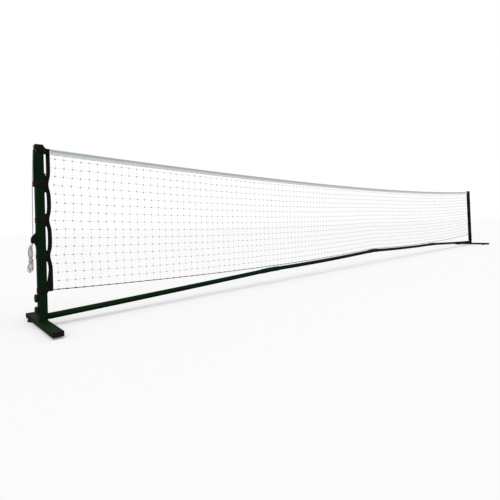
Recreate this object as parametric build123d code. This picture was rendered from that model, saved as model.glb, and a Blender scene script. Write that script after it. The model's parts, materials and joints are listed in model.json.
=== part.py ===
from build123d import *
import math
import os

# A portable pickleball net: two T-shaped ends joined by a four-part base tube,
# with a knotted net hung between the posts. Millimetres, +Z up, X along the net.
# The origin is on the floor, midway between the posts. Every end piece is drawn
# for the left end, with x measured from the post's axis towards the net, and the
# right end is its mirror image.

# ---- driving dimensions ----
HALF_SPAN = 3350.0
NET_HEIGHT_AT_POST = 914.0
NET_SAG = 70.0
POST_SIDE = 40.0
POST_WALL = 1.5
FOOT_LENGTH = 540.0
FOOT_WIDTH = 50.0
FOOT_HEIGHT = 25.0
BAR_DIAMETER = 32.0
CORD_DIAMETER = 4.0

# ---- foot ----
PAD_HEIGHT = 8.0
FRONT_PAD_DIAMETER = 40.0
REAR_PAD_DIAMETER = 66.0
PAD_INSET = 80.0
PAD_STEM = 8.0
FOOT_WALL = 1.5
FOOT_TOP = PAD_HEIGHT + FOOT_HEIGHT
PLUG_FLANGE = 5.0
PLUG_DEPTH = 18.0

# ---- upright ----
COLLAR_TOP = 75.0
SPIGOT_SIDE = 36.4
SPIGOT_WALL = 2.0
SPIGOT_TOP = 240.0
POST_TOP = 885.0
POST_CORNER = 3.0
HEAD_TOP = 930.0
HEAD_PLUG = 25.0
HALF_POST = POST_SIDE / 2

# ---- clamp knobs ----
KNOB_HEIGHTS = {"lower": 90.0, "upper": 152.0}
KNOB_DIAMETER = 42.0
KNOB_THICKNESS = 8.5
KNOB_GAP = 0.5
NUT_THICKNESS = 5.0
NUT_DIAMETER = 18.0
STUD_DIAMETER = 8.0
STUD_TIP_GAP = 0.3
RUNNING_CLEARANCE = 0.05

# ---- base bar ----
BAR_WALL = 1.2
BAR_END_HEIGHT = 52.0
BAR_SPAN = HALF_SPAN / 2
BAR_STRAIGHT = 115.0
JOINT_X = [-HALF_SPAN, -BAR_SPAN, 0.0, BAR_SPAN, HALF_SPAN]
JOINT_Z = [BAR_END_HEIGHT, 112.0, 143.0, 112.0, BAR_END_HEIGHT]
SECTION_SAG = [3.0, 8.0, 8.0, 3.0]
BAR_START = HALF_POST + 6.0
BAR_GAP = 8.0
BAR_SPIGOT_DIAMETER = 29.0
BAR_SPIGOT_WALL = 1.5
BAR_SPIGOT_END = 84.0
COUPLER_DIAMETER = 37.0
COUPLER_BORE = 32.4
COUPLER_HALF = 100.0
FIXING_OFFSET = 60.0
RIVET_RADIUS = 2.4

# ---- snap buttons ----
BUTTON_DIAMETER = 8.0
BUTTON_PROUD = 2.5
FLANGE_DIAMETER = 12.0
FLANGE_THICKNESS = 2.0
FLANGE_DROP = 1.9
SPRING_THICKNESS = 1.0
SPRING_WIDTH = 6.0
SPRING_REACH = 4.0
SPRING_LENGTH = 28.0

# ---- net and its borders ----
BAND_INNER = 31.0
BAND_OUTER = 55.0
BAND_THICKNESS = 3.0
BAND_TOP = 903.0
BAND_BOTTOM = 177.0
TAPE_HEIGHT = 30.0
TAPE_PLY = 1.2
TAPE_HALF_THICKNESS = 4.0
TAPE_START = 57.0
HEADLINE_DIAMETER = 5.0
BOTTOM_END_HEIGHT = 184.0
BOTTOM_MIDDLE_HEIGHT = 165.5
BOTTOM_CROWN = 80.0
BOTTOM_CROWN_DROP = 1.41
NET_THICKNESS = 1.0
NET_TUCK = 12.0

# ---- straps ----
STRAP_WIDTH = 25.0
STRAP_THICKNESS = 1.3
STRAP_FIT = 0.3
STRAP_HEIGHTS = [187.0, 359.0, 545.0, 728.0]
STRAP_END = 46.0
STRAP_NECK = 30.0
TOP_STRAP_HEIGHT = 904.0
TOP_STRAP_BACK = -14.0
TOP_STRAP_END = 52.0
STRAP_SCREW_X = -8.0
STRAP_SCREW_Z = 910.0
STRAP_SCREW_RADIUS = 2.0
STRAP_SCREW_LENGTH = 12.0

# ---- tension gear on the left post ----
SHEAVE_X = -15.0
SHEAVE_Z = 897.0
SHEAVE_DIAMETER = 21.0
SHEAVE_WIDTH = 8.0
GROOVE_RADIUS = 8.0
GROOVE_CLEARANCE = 0.3
AXLE_DIAMETER = 5.0
SLOT_WIDTH = 9.0
SLOT_TOP = 916.0
PIN_Z = 912.0
RAIL_TOP = 880.0
RAIL_BOTTOM = 716.0
RAIL_WIDTH = 14.0
RAIL_SHEET = 1.5
RAIL_DEPTH_TOP = 3.2
RAIL_DEPTH_BOTTOM = 7.6
CORD_START = (35.4, 911.0)
HEADLINE_END = 36.0
CORD_AT_STRAP = (-32.2, 728.0)
CORD_AT_CLEAT = (-35.4, 478.0)
CORD_EXIT = (-36.5, 430.0)
CLEAT_TOP = 493.0
CLEAT_BOTTOM = 402.0
CLEAT_BASE = 3.0
CLEAT_WIDTH = 18.0
CLEAT_SCREWS = [487.5, 408.0]
SCREW_RADIUS = 2.5
CORD_TAIL_DROP = 10.0
CORD_TAIL_ROUTE = [(-42.0, 2.8, 412.5), (-51.0, 6.0, 410.5)]
HANK_X = -52.0
HANK_Y = 8.0

EPS = 1.0  # how far a cutting tool runs past the face it cuts


def box(x0, x1, y0, y1, z0, z1):
    """A block between two corners."""
    size = (x1 - x0, y1 - y0, z1 - z0)
    centre = ((x0 + x1) / 2, (y0 + y1) / 2, (z0 + z1) / 2)
    return Pos(*centre) * Box(*size)


def rod(radius, start, end):
    """A round bar from one point to another."""
    axis = Vector(*end) - Vector(*start)
    plane = Plane(origin=start, z_dir=axis)
    return extrude(plane * Circle(radius), amount=axis.length)


def square_tube(side, wall, corner, z0, z1):
    """An upright square tube with rounded corners."""
    outer = RectangleRounded(side, side, corner)
    inner = RectangleRounded(side - 2 * wall, side - 2 * wall, max(corner - wall, 0.6))
    return Pos(0, 0, z0) * extrude(outer - inner, amount=z1 - z0)


def side_profile(points):
    """A closed outline in the XZ plane, given as (x, z) corners."""
    return make_face(Polyline(*[(x, 0, z) for x, z in points], close=True))


def thick(face, width):
    """An XZ face thickened equally to both sides of y = 0."""
    return extrude(face, amount=width / 2, dir=(0, 1, 0), both=True)


# ---- feet ----
def foot_tube():
    outer = RectangleRounded(FOOT_WIDTH, FOOT_HEIGHT, 3.0)
    inner_size = (FOOT_WIDTH - 2 * FOOT_WALL, FOOT_HEIGHT - 2 * FOOT_WALL)
    inner = RectangleRounded(*inner_size, 1.2)
    centre = Plane(origin=(0, 0, PAD_HEIGHT + FOOT_HEIGHT / 2), z_dir=(0, 1, 0), x_dir=(1, 0, 0))
    tube = extrude(centre * (outer - inner), amount=FOOT_LENGTH / 2, both=True)
    for y in pad_places():
        tube -= rod(PAD_STEM / 2 + 0.1, (0, y, 0), (0, y, PAD_HEIGHT + FOOT_WALL + EPS))
    return tube


def pad_places():
    inset = FOOT_LENGTH / 2 - PAD_INSET
    return [-inset, inset]


def foot_pads():
    pads = []
    for y in pad_places():
        diameter = REAR_PAD_DIAMETER if y > 0 else FRONT_PAD_DIAMETER
        disc = Pos(0, y, PAD_HEIGHT / 2) * Cylinder(diameter / 2, PAD_HEIGHT)
        disc = chamfer(disc.edges().group_by(Axis.Z)[0], 1.5)
        stem_top = PAD_HEIGHT + FOOT_WALL + 0.2
        pad = disc + rod(PAD_STEM / 2, (0, y, PAD_HEIGHT - EPS), (0, y, stem_top))
        barb = Pos(0, y, stem_top + 2.0) * Cone(5.2, 3.0, 4.0)
        pads.append(pad + barb)
    return pads


def foot_end_plugs():
    plugs = []
    for sign in (-1, 1):
        end = sign * FOOT_LENGTH / 2
        size = (FOOT_WIDTH - 2 * FOOT_WALL - 0.4, FOOT_HEIGHT - 2 * FOOT_WALL - 0.4)
        z = PAD_HEIGHT + FOOT_HEIGHT / 2
        plane = Plane(origin=(0, end, z), z_dir=(0, sign, 0), x_dir=(1, 0, 0))
        flange = extrude(plane * RectangleRounded(FOOT_WIDTH, FOOT_HEIGHT, 3.0), amount=PLUG_FLANGE)
        outside = flange.faces().sort_by(Axis.Y)[0 if sign < 0 else -1]
        flange = fillet(outside.edges(), 1.5)
        body = extrude(plane * RectangleRounded(*size, 1.0), amount=-PLUG_DEPTH)
        hollow = extrude(plane * RectangleRounded(size[0] - 6, size[1] - 6, 1.0), amount=-PLUG_DEPTH)
        plugs.append(flange + (body - hollow))
    return plugs


# ---- upright and base socket ----
def collar():
    return square_tube(POST_SIDE, POST_WALL, POST_CORNER, FOOT_TOP, COLLAR_TOP)


def spigot():
    return square_tube(SPIGOT_SIDE, SPIGOT_WALL, 1.5, FOOT_TOP, SPIGOT_TOP)


def post_tube(screw_heights=()):
    tube = square_tube(POST_SIDE, POST_WALL, POST_CORNER, COLLAR_TOP, POST_TOP)
    for z in KNOB_HEIGHTS.values():
        tube -= rod(STUD_DIAMETER / 2 + 0.5, (-HALF_POST - EPS, 0, z), (-HALF_POST + 5, 0, z))
    for z in screw_heights:
        tube -= rod(SCREW_RADIUS, (-HALF_POST - EPS, 0, z), (-HALF_POST + 5, 0, z))
    return tube


def clamp_nuts():
    nuts = []
    for z in KNOB_HEIGHTS.values():
        nut = rod(NUT_DIAMETER / 2, (-HALF_POST - NUT_THICKNESS, 0, z), (-HALF_POST, 0, z))
        bore = STUD_DIAMETER / 2 + RUNNING_CLEARANCE
        nut -= rod(bore, (-HALF_POST - NUT_THICKNESS - EPS, 0, z), (-HALF_POST + EPS, 0, z))
        nuts.append(chamfer(nut.edges().group_by(Axis.X)[0].sort_by(SortBy.LENGTH)[-1], 1.0))
    return nuts


def knob_back():
    return -HALF_POST - NUT_THICKNESS - KNOB_GAP


def knob_grip(z):
    """A round grip with eight shallow finger flutes and a domed face."""
    back = knob_back()
    front = back - KNOB_THICKNESS
    grip = rod(KNOB_DIAMETER / 2, (front, 0, z), (back, 0, z))
    grip = fillet(grip.edges().group_by(Axis.X)[0], 4.0)
    grip = fillet(grip.edges().group_by(Axis.X)[-1], 1.2)
    for i in range(8):
        angle = math.radians(22.5 + 45 * i)
        reach = KNOB_DIAMETER / 2 + 4.2
        y = reach * math.cos(angle)
        dz = reach * math.sin(angle)
        grip -= rod(6.0, (front - EPS, y, z + dz), (back + EPS, y, z + dz))
    return grip - stud_blank(z, 0.0)


def stud_blank(z, extra):
    """The screw's plain rod, from inside the grip to just short of the spigot."""
    tip = -SPIGOT_SIDE / 2 - STUD_TIP_GAP
    return rod(STUD_DIAMETER / 2 + extra, (knob_back() - 7.0, 0, z), (tip, 0, z))


def knob_stud(z):
    stud = stud_blank(z, 0.0)
    return chamfer(stud.edges().group_by(Axis.X)[-1], 0.8)


# ---- post heads ----
def head_blank():
    """A moulded cap: a rounded block over the tube and a plug down inside it."""
    block = Pos(0, 0, POST_TOP) * extrude(
        RectangleRounded(POST_SIDE, POST_SIDE, POST_CORNER), amount=HEAD_TOP - POST_TOP
    )
    block = fillet(block.faces().sort_by(Axis.Z)[-1].edges(), 2.5)
    plug_side = POST_SIDE - 2 * POST_WALL - 0.3
    plug = Pos(0, 0, POST_TOP - HEAD_PLUG) * extrude(
        RectangleRounded(plug_side, plug_side, 1.2), amount=HEAD_PLUG
    )
    return block + plug


def strap_screw_holes(head):
    for sign in (-1, 1):
        inner = (STRAP_SCREW_X, sign * (HALF_POST - STRAP_SCREW_LENGTH), STRAP_SCREW_Z)
        outer = (STRAP_SCREW_X, sign * (HALF_POST + EPS), STRAP_SCREW_Z)
        head -= rod(STRAP_SCREW_RADIUS, inner, outer)
    return head


def left_head():
    half = SLOT_WIDTH / 2
    head = head_blank()
    head -= box(-HALF_POST - EPS, HALF_POST + EPS, -half, half, POST_TOP, SLOT_TOP)
    head -= rod(AXLE_DIAMETER / 2 + 0.02, (SHEAVE_X, -HALF_POST - EPS, SHEAVE_Z),
                (SHEAVE_X, HALF_POST + EPS, SHEAVE_Z))
    return strap_screw_holes(head)


def right_head():
    half = SLOT_WIDTH / 2
    head = head_blank()
    head -= box(-7, HALF_POST + EPS, -half, half, PIN_Z - 8, PIN_Z + 8)
    head -= rod(AXLE_DIAMETER / 2 + 0.02, (0, -HALF_POST - EPS, PIN_Z), (0, HALF_POST + EPS, PIN_Z))
    return strap_screw_holes(head)


def cross_pin(x, z):
    """A plain pin across the head, its ends just under the head's sides."""
    pin = rod(AXLE_DIAMETER / 2, (x, -HALF_POST + 0.5, z), (x, HALF_POST - 0.5, z))
    return chamfer(pin.edges().group_by(Axis.Y)[0] + pin.edges().group_by(Axis.Y)[-1], 0.5)


def sheave():
    """A small grooved wheel that turns on the cross pin."""
    outer = SHEAVE_DIAMETER / 2
    half = SHEAVE_WIDTH / 2
    bore = AXLE_DIAMETER / 2 + RUNNING_CLEARANCE
    at_pin = Plane(origin=(SHEAVE_X, 0, SHEAVE_Z), z_dir=(0, -1, 0), x_dir=(1, 0, 0))
    wheel = extrude(at_pin * Circle(outer), amount=half, both=True)
    ring_radius = CORD_DIAMETER / 2 + 2 * GROOVE_CLEARANCE
    ring = at_pin * Torus(GROOVE_RADIUS - GROOVE_CLEARANCE + ring_radius, ring_radius)
    return wheel - ring - extrude(at_pin * Circle(bore), amount=half + EPS, both=True)


def head_strap_screws():
    screws = []
    for sign in (-1, 1):
        z = STRAP_SCREW_Z
        outside = sign * (HALF_POST + 0.3 + STRAP_THICKNESS)
        shank = rod(STRAP_SCREW_RADIUS, (STRAP_SCREW_X, sign * (HALF_POST - STRAP_SCREW_LENGTH), z),
                    (STRAP_SCREW_X, outside, z))
        head = rod(4.5, (STRAP_SCREW_X, outside, z), (STRAP_SCREW_X, outside + sign * 2.2, z))
        rim = head.edges().sort_by(Axis.Y)[0 if sign < 0 else -1]
        screws.append(shank + fillet(rim, 1.2))
    return screws


# ---- base bar ----
def bar_slope(section, end):
    """Slope of a section's straight end: end 0 is its left one, end 1 its right one."""
    rise = (JOINT_Z[section + 1] - JOINT_Z[section]) / BAR_SPAN
    dip = 4 * SECTION_SAG[section] / (BAR_SPAN + 2 * BAR_STRAIGHT)
    return rise + dip if end else rise - dip


def bar_end_point(section, end, reach):
    """A point on a section's straight end, a distance along X in from its joint."""
    joint = section + end
    inward = -reach if end else reach
    return (JOINT_X[joint] + inward, 0, JOINT_Z[joint] + inward * bar_slope(section, end))


def bar_section(section):
    """One tube: straight where it is held at both ends, with a slight sag between."""
    first_gap = BAR_START if section == 0 else BAR_GAP
    last_gap = BAR_START if section == 3 else BAR_GAP
    first = Line(bar_end_point(section, 0, first_gap), bar_end_point(section, 0, BAR_STRAIGHT))
    last = Line(bar_end_point(section, 1, BAR_STRAIGHT), bar_end_point(section, 1, last_gap))
    sagging = TangentArc(first @ 1, last @ 0, tangent=first % 1)
    path = Wire([first, sagging, last])
    ring = Circle(BAR_DIAMETER / 2) - Circle(BAR_DIAMETER / 2 - BAR_WALL)
    tube = sweep((path ^ 0) * ring, path=path)
    for place in button_places():
        tube -= button_bore(place)
    for x, z, _ in rivet_places():
        tube -= rod(RIVET_RADIUS, (x, 0, z - 30), (x, 0, z))
    return tube


def bar_spigot():
    """The foot's inclined stub that the end section slips over, in left-end coordinates."""
    slope = bar_slope(0, 0)
    start = (0, 0, BAR_END_HEIGHT)
    end = (BAR_SPIGOT_END, 0, BAR_END_HEIGHT + slope * BAR_SPIGOT_END)
    stub = rod(BAR_SPIGOT_DIAMETER / 2, start, end)
    stub = chamfer(stub.edges().sort_by(Axis.X)[-1], 0.8)
    tail = (BAR_SPIGOT_END + 5, 0, BAR_END_HEIGHT + slope * (BAR_SPIGOT_END + 5))
    stub -= rod(BAR_SPIGOT_DIAMETER / 2 - BAR_SPIGOT_WALL, start, tail)
    stub -= box(-EPS - 20, HALF_POST, -30, 30, 0, 100)
    place = Pos(HALF_SPAN, 0, 0) * button_bore(button_places()[0])
    return stub - place


def coupler(joint):
    """A bent sleeve over the ends of two sections."""
    x = JOINT_X[joint]
    z = JOINT_Z[joint]
    left = bar_slope(joint - 1, 1)
    right = bar_slope(joint, 0)
    points = [(x - COUPLER_HALF, 0, z - left * COUPLER_HALF), (x, 0, z), (x + COUPLER_HALF, 0, z + right * COUPLER_HALF)]
    path = Polyline(*points)
    ring = Circle(COUPLER_DIAMETER / 2) - Circle(COUPLER_BORE / 2)
    sleeve = sweep((path ^ 0) * ring, path=path, transition=Transition.RIGHT)
    for place in button_places():
        sleeve -= button_bore(place)
    for rivet_x, rivet_z, _ in rivet_places():
        sleeve -= rod(RIVET_RADIUS, (rivet_x, 0, rivet_z - 30), (rivet_x, 0, rivet_z))
    return sleeve


def rivet_places():
    """Where each coupler is riveted to the section on its left, from below."""
    places = []
    for joint in (1, 2, 3):
        x = JOINT_X[joint] - FIXING_OFFSET
        slope = bar_slope(joint - 1, 1)
        places.append((x, JOINT_Z[joint] - slope * FIXING_OFFSET, slope))
    return places


def coupler_rivets():
    rivets = []
    for x, z, _ in rivet_places():
        outside = z - COUPLER_DIAMETER / 2
        shank = rod(RIVET_RADIUS, (x, 0, outside - 1.0), (x, 0, outside + 8.0))
        head = rod(4.5, (x, 0, outside - 2.0), (x, 0, outside - 0.5))
        head = fillet(head.edges().group_by(Axis.Z)[0], 0.9)
        tail = rod(3.4, (x, 0, outside + 5.4), (x, 0, outside + 8.2))
        rivets.append(shank + head + tail)
    return rivets


def button_places():
    """Each button as (x, centre line z, outer radius, inner bore radius, slope)."""
    bore = BAR_DIAMETER / 2 - BAR_WALL
    end_bore = BAR_SPIGOT_DIAMETER / 2 - BAR_SPIGOT_WALL
    places = []
    x = -HALF_SPAN + FIXING_OFFSET
    slope = bar_slope(0, 0)
    z = BAR_END_HEIGHT + slope * FIXING_OFFSET
    places.append((x, z, BAR_DIAMETER / 2, end_bore, slope))
    for joint in (1, 2, 3):
        slope = bar_slope(joint, 0)
        z = JOINT_Z[joint] + slope * FIXING_OFFSET
        places.append((JOINT_X[joint] + FIXING_OFFSET, z, COUPLER_DIAMETER / 2, bore, slope))
    x, z, outer, inner, slope = places[0]
    places.append((-x, z, outer, inner, -slope))
    return places


def button_bore(place):
    x, z, outer, _, _ = place
    return rod(BUTTON_DIAMETER / 2 + RUNNING_CLEARANCE, (x, 0, z), (x, 0, z + outer + 5))


def snap_button(place):
    """A domed pin with a flange that the spring pushes up against the inner tube."""
    x, z, outer, bore, _ = place
    flange_top = z + bore - FLANGE_DROP
    top = z + outer + BUTTON_PROUD
    pin = rod(BUTTON_DIAMETER / 2, (x, 0, flange_top - EPS), (x, 0, top))
    pin = fillet(pin.edges().group_by(Axis.Z)[-1], 2.4)
    return pin + rod(FLANGE_DIAMETER / 2, (x, 0, flange_top - FLANGE_THICKNESS), (x, 0, flange_top))


def button_spring(place):
    """A V-shaped leaf inside the tube, open towards the middle of the net's right half."""
    x, z, _, bore, slope = place
    top = z + bore - FLANGE_DROP - FLANGE_THICKNESS - 0.3
    bottom = z - bore + 0.5
    half = (top - bottom) / 2
    angle = math.atan2(half, SPRING_LENGTH)
    rise = SPRING_THICKNESS / math.cos(angle)
    shift = rise / math.tan(angle)
    tip = x + SPRING_REACH
    bend = tip - SPRING_LENGTH
    middle = bottom + half
    outline = [
        (tip, top),
        (bend, middle),
        (tip, bottom),
        (tip, bottom + rise),
        (bend + shift, middle),
        (tip, top - rise),
    ]
    leaf = thick(side_profile(outline), SPRING_WIDTH)
    return leaf.rotate(Axis((x, 0, bottom), (0, 1, 0)), -math.degrees(math.atan(slope)))


# ---- net ----
def sag_arc(x_end, z_end, sag):
    """A shallow hanging arc from -x_end to x_end in the XZ plane."""
    return ThreePointArc((-x_end, 0, z_end), (0, 0, z_end - sag), (x_end, 0, z_end))


def hanging_strip(upper, lower, width):
    """A thin upright sheet between two hanging lines."""
    left_end, right_end = sorted([lower @ 0, lower @ 1], key=lambda end: end.X)
    sides = [Line(upper @ 1, right_end), Line(left_end, upper @ 0)]
    return thick(make_face([*upper.edges(), *lower.edges(), *sides]), width)


def bottom_line(x_end, lift):
    """The bottom cord's line, or one a little above it: two hanging lobes and a low crown."""
    top = BOTTOM_MIDDLE_HEIGHT + lift
    side = top - BOTTOM_CROWN_DROP
    end = BOTTOM_END_HEIGHT + lift
    crown = ThreePointArc((-BOTTOM_CROWN, 0, side), (0, 0, top), (BOTTOM_CROWN, 0, side))
    right = TangentArc(crown @ 1, (x_end, 0, end), tangent=crown % 1)
    left = TangentArc(crown @ 0, (-x_end, 0, end), tangent=(crown % 0) * -1)
    return Wire([left, crown, right])


def top_tape():
    """Folded tape: two plies and a closed top edge over the headline."""
    x = HALF_SPAN - TAPE_START
    bottom = NET_HEIGHT_AT_POST - TAPE_HEIGHT
    outer_edges = [sag_arc(x, z, NET_SAG) for z in (NET_HEIGHT_AT_POST, bottom)]
    room_edges = [sag_arc(x + EPS, z, NET_SAG) for z in (NET_HEIGHT_AT_POST - TAPE_PLY, bottom - EPS)]
    outer = hanging_strip(*outer_edges, 2 * TAPE_HALF_THICKNESS)
    return outer - hanging_strip(*room_edges, 2 * (TAPE_HALF_THICKNESS - TAPE_PLY))


def headline_point(x):
    """A point on the headline's hanging arc, which runs on at both ends past the tape."""
    half = HALF_SPAN - TAPE_START
    z_end = NET_HEIGHT_AT_POST - TAPE_PLY - 0.2 - HEADLINE_DIAMETER / 2
    radius = (half**2 + NET_SAG**2) / (2 * NET_SAG)
    return (x, 0, z_end - NET_SAG + radius - math.sqrt(radius**2 - x**2))


def headline_cord():
    """The rope inside the tape, ending just outside the tape at each post."""
    end = HALF_SPAN - HEADLINE_END
    path = ThreePointArc(headline_point(-end), headline_point(0), headline_point(end))
    return sweep((path ^ 0) * Circle(HEADLINE_DIAMETER / 2), path=path)


def headline_tail():
    """The headline's far end, tied to the right head's pin, in left-end coordinates."""
    start = (AXLE_DIAMETER / 2 + 0.02, 0, PIN_Z)
    end = (CORD_START[0], 0, headline_point(HALF_SPAN - CORD_START[0])[2])
    return rod(HEADLINE_DIAMETER / 2, start, end)


def bottom_cord():
    path = bottom_line(HALF_SPAN - BAND_OUTER, 0.0)
    return sweep((path ^ 0) * Circle(CORD_DIAMETER / 2), path=path)


def net_panel():
    """The knotted net as one thin sheet, hung between the tape and the bottom cord."""
    end = HALF_SPAN - TAPE_START
    upper = sag_arc(end, NET_HEIGHT_AT_POST - TAPE_HEIGHT + NET_TUCK, NET_SAG)
    return hanging_strip(upper, bottom_line(end, CORD_DIAMETER / 2), NET_THICKNESS)


def side_band():
    half = BAND_THICKNESS / 2
    return box(BAND_INNER, BAND_OUTER, -half, half, BAND_BOTTOM, BAND_TOP)


# ---- straps ----
def post_plan(grow):
    """The post's outline grown by a strap's fit and thickness."""
    side = POST_SIDE + 2 * (STRAP_FIT + grow)
    return RectangleRounded(side, side, POST_CORNER + grow)


def strap_plan(grow, half_gap, end, rail_reach=0.0):
    """Plan of a strap: round the post, drawn together at the neck and along the band."""
    half = half_gap + grow
    corners = post_plan(grow).edges() + (Pos(STRAP_NECK, 0) * Circle(half)).edges()
    if rail_reach:
        reach = HALF_POST + rail_reach + STRAP_FIT + grow
        width = RAIL_WIDTH + 2 * (STRAP_FIT + grow)
        corners += (Pos(-reach / 2, 0) * RectangleRounded(reach, width, 1.0 + grow)).edges()
    tongue = Pos((STRAP_NECK + end) / 2, 0) * Rectangle(end - STRAP_NECK, 2 * half)
    return make_hull(corners) + tongue


def strap_loop(z, rail_reach):
    """A webbing loop round the post, its two ends sewn flat on the side band."""
    gap = BAND_THICKNESS / 2 + 0.2
    outer = strap_plan(STRAP_THICKNESS, gap, STRAP_END, rail_reach)
    inner = strap_plan(0.0, gap, STRAP_END + EPS, rail_reach)
    return Pos(0, 0, z - STRAP_WIDTH / 2) * extrude(outer - inner, amount=STRAP_WIDTH)


def top_straps():
    """The two top tabs, one each side of the headline, each screwed to the head."""
    gap = HEADLINE_DIAMETER / 2 + 0.3
    outer = strap_plan(STRAP_THICKNESS, gap, TOP_STRAP_END)
    inner = strap_plan(0.0, gap, TOP_STRAP_END + EPS)
    behind = Pos(TOP_STRAP_BACK - 50, 0) * Rectangle(100, 100)
    plan = outer - inner - behind
    straps = Pos(0, 0, TOP_STRAP_HEIGHT - STRAP_WIDTH / 2) * extrude(plan, amount=STRAP_WIDTH)
    start = (STRAP_SCREW_X, -30, STRAP_SCREW_Z)
    end = (STRAP_SCREW_X, 30, STRAP_SCREW_Z)
    return straps - rod(STRAP_SCREW_RADIUS, start, end)


def side_straps(with_rail):
    straps = []
    for z in STRAP_HEIGHTS:
        over_rail = with_rail and z > RAIL_BOTTOM
        straps.append(strap_loop(z, RAIL_DEPTH_BOTTOM if over_rail else 0.0))
    return straps


# ---- tension gear ----
def rail_outline(inset):
    """The guide rail's side view, a wedge that stands further off the post lower down."""
    face = -HALF_POST + (EPS if inset else 0.0)
    return [
        (face, RAIL_TOP - inset),
        (-HALF_POST - RAIL_DEPTH_TOP + inset, RAIL_TOP - inset),
        (-HALF_POST - RAIL_DEPTH_BOTTOM + inset, RAIL_BOTTOM + inset),
        (face, RAIL_BOTTOM + inset),
    ]


def cord_guide_rail():
    """A folded sheet channel, open only against the post."""
    shell = thick(side_profile(rail_outline(0.0)), RAIL_WIDTH)
    return shell - thick(side_profile(rail_outline(RAIL_SHEET)), RAIL_WIDTH - 2 * RAIL_SHEET)


def tangent_direction(point, centre, radius, turn):
    """Unit direction from a point along its tangent to a circle, in the XZ plane."""
    dx = centre[0] - point[0]
    dz = centre[1] - point[1]
    angle = math.atan2(dz, dx) + turn * math.asin(radius / math.hypot(dx, dz))
    return (math.cos(angle), math.sin(angle))


def sheave_corner():
    """Where the cord's two straight runs beside the sheave would cross."""
    centre = (SHEAVE_X, SHEAVE_Z)
    radius = GROOVE_RADIUS + CORD_DIAMETER / 2
    ax, az = tangent_direction(CORD_START, centre, radius, -1)
    bx, bz = tangent_direction(CORD_AT_STRAP, centre, radius, 1)
    px = CORD_AT_STRAP[0] - CORD_START[0]
    pz = CORD_AT_STRAP[1] - CORD_START[1]
    reach = (px * bz - pz * bx) / (ax * bz - az * bx)
    return (CORD_START[0] + reach * ax, CORD_START[1] + reach * az)


def rounded_route(points, fixed):
    """Straight runs joined by arcs; a fixed radius is used at the corners that name one."""
    radii = []
    for i in range(1, len(points) - 1):
        before = Vector(*points[i]) - Vector(*points[i - 1])
        after = Vector(*points[i + 1]) - Vector(*points[i])
        half_turn = math.radians(before.get_angle(after)) / 2
        free = 0.45 * min(before.length, after.length) / math.tan(half_turn)
        radii.append(fixed.get(i, free))
    print("cord radii", [round(r, 1) for r in radii])
    return FilletPolyline(*points, radius=radii)


def cord_tube(path):
    return sweep((path ^ 0) * Circle(CORD_DIAMETER / 2), path=path)


def tension_cord():
    """The cord from the headline over the sheave, down the rail and through the cleat."""
    corners = [CORD_START, sheave_corner(), CORD_AT_STRAP, CORD_AT_CLEAT, CORD_EXIT]
    points = [(x, 0, z) for x, z in corners]
    return cord_tube(rounded_route(points, {1: GROOVE_RADIUS + CORD_DIAMETER / 2}))


def cord_tail():
    """The short loose stretch from the cleat's underside into the hank."""
    dx = CORD_EXIT[0] - CORD_AT_CLEAT[0]
    dz = CORD_EXIT[1] - CORD_AT_CLEAT[1]
    below = (CORD_EXIT[0] + dx * CORD_TAIL_DROP / -dz, 0, CORD_EXIT[1] - CORD_TAIL_DROP)
    route = [(CORD_EXIT[0], 0, CORD_EXIT[1]), below, *CORD_TAIL_ROUTE]
    return cord_tube(rounded_route(route, {}))


# Each level of the hank: height, half width along X, half width along Y.
HANK_LEVELS = [
    (427.0, 3.0, 3.0),
    (413.0, 7.5, 6.5),
    (397.0, 10.5, 8.5),
    (372.0, 13.8, 9.5),
    (351.0, 8.0, 8.0),
    (322.0, 12.8, 7.5),
    (298.0, 14.0, 6.5),
    (283.0, 8.5, 4.5),
]


def cord_hank():
    """The spare cord, folded up and bound round its waist, as its outer shape."""
    rings = [Pos(HANK_X, HANK_Y, z) * Ellipse(a, b) for z, a, b in HANK_LEVELS]
    return loft(rings, ruled=True) - cord_tail()


def cleat():
    """A cord cleat: a screwed base and a hooked horn, slotted for the cord."""
    face = -HALF_POST
    base = box(face - CLEAT_BASE, face, -CLEAT_WIDTH / 2, CLEAT_WIDTH / 2, CLEAT_BOTTOM, CLEAT_TOP)
    base = fillet(base.edges().filter_by(Axis.X), 4.0)
    back = Spline((face - 2, 0, 481), (face - 8, 0, 476), (face - 19, 0, 464), (face - 24.5, 0, 447),
                  tangents=((-0.8, 0, -0.6), (0, 0, -1)))
    nose = Spline(back @ 1, (face - 24.2, 0, 436), (face - 22.2, 0, 428.5), tangents=((0, 0, -1), (0.5, 0, -0.86)))
    lip = ThreePointArc(nose @ 1, (face - 20.4, 0, 427), (face - 18.8, 0, 428.4))
    under = Spline(lip @ 1, (face - 12, 0, 428.5), (face - 6, 0, 421), (face - 2, 0, 412))
    close = Line(under @ 1, back @ 0)
    horn = thick(make_face([back, nose, lip, under, close]), CLEAT_WIDTH - 4)
    body = base + horn
    half_slot = CORD_DIAMETER / 2 + 0.2
    slot_floor = CORD_AT_CLEAT[0] + CORD_DIAMETER / 2 + 0.2
    body -= box(face - 40, slot_floor, -half_slot, half_slot, CLEAT_BOTTOM, CLEAT_TOP)
    for z in CLEAT_SCREWS:
        body -= rod(SCREW_RADIUS, (face - 10, 0, z), (face + EPS, 0, z))
    return body


def cleat_screws():
    screws = []
    face = -HALF_POST - CLEAT_BASE
    for z in CLEAT_SCREWS:
        shank = rod(SCREW_RADIUS, (face, 0, z), (-HALF_POST + 6, 0, z))
        head = rod(4.2, (face - 2.2, 0, z), (face, 0, z))
        screws.append(shank + fillet(head.edges().group_by(Axis.X)[0], 1.2))
    return screws


# ---- placing and writing ----
def at_left(shape):
    return Pos(-HALF_SPAN, 0, 0) * shape


def at_right(shape):
    return mirror(at_left(shape), about=Plane.YZ)


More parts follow.
